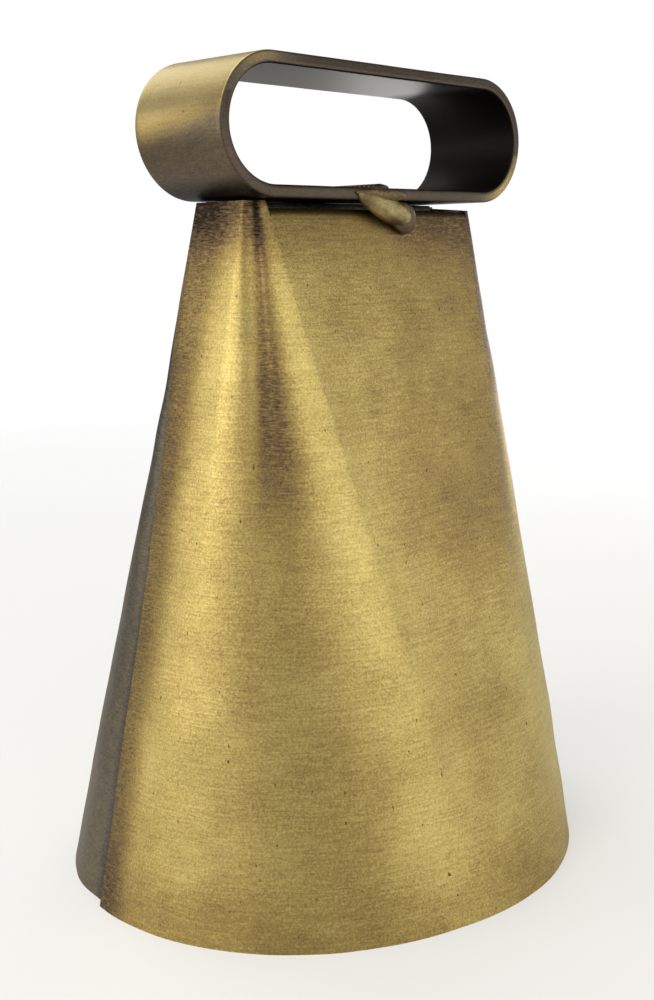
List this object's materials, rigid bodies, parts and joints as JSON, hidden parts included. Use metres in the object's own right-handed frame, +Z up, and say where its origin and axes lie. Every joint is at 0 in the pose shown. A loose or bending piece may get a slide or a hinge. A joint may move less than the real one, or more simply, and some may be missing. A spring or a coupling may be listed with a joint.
{
  "type": "cowbell",
  "caption": "Cowbell of two lapped sheet shells tapering from an oval mouth to a narrow crown, with a welded strap handle and a hanging ball clapper.",
  "frame": {"origin": "centre of the mouth, in the plane it stands on", "axes": "+Z up through the crown, +X along the handle, -Y towards the front shell's broad face"},
  "size_m": [0.1214, 0.112, 0.1733],
  "materials": {
    "shell_front": "antique brass plate on steel sheet, brushed satin, dark in the folds",
    "shell_rear": "antique brass plate on steel sheet, brushed satin, greyer",
    "strap": "antique brass plate on flat steel bar, brushed satin",
    "weld_bead": "plated weld metal, smooth and rippled",
    "braze": "braze metal, as run",
    "wire": "steel wire, darkened plate",
    "ball": "cast, dark, slightly rough"
  },
  "bodies": {
    "bell": {"front_shell": "shell_front", "rear_shell": "shell_rear", "handle_strap": "strap", "handle_front_weld": "weld_bead", "handle_rear_weld": "weld_bead", "handle_closing_weld": "weld_bead", "seam_tack_left_1": "braze", "seam_tack_left_2": "braze", "seam_tack_left_3": "braze", "seam_tack_right_1": "braze", "seam_tack_right_2": "braze", "seam_tack_right_3": "braze", "staple_braze_left": "braze", "staple_braze_right": "braze", "clapper_staple": "wire"},
    "link": {"clapper_link": "wire"},
    "clapper": {"clapper_rod": "wire", "clapper_ball": "ball"}
  },
  "joints": [
    {"name": "link_swing", "type": "hinge", "parent": "bell", "child": "link", "pos_m": [0.0038, -0.0045, 0.1285], "axis": [1, 0, 0], "range_deg": [-16, 20]},
    {"name": "clapper_side_swing", "type": "hinge", "parent": "link", "child": "clapper", "pos_m": [0.0038, -0.0045, 0.11605], "axis": [0, 1, 0], "range_deg": [-8, 8]}
  ]
}
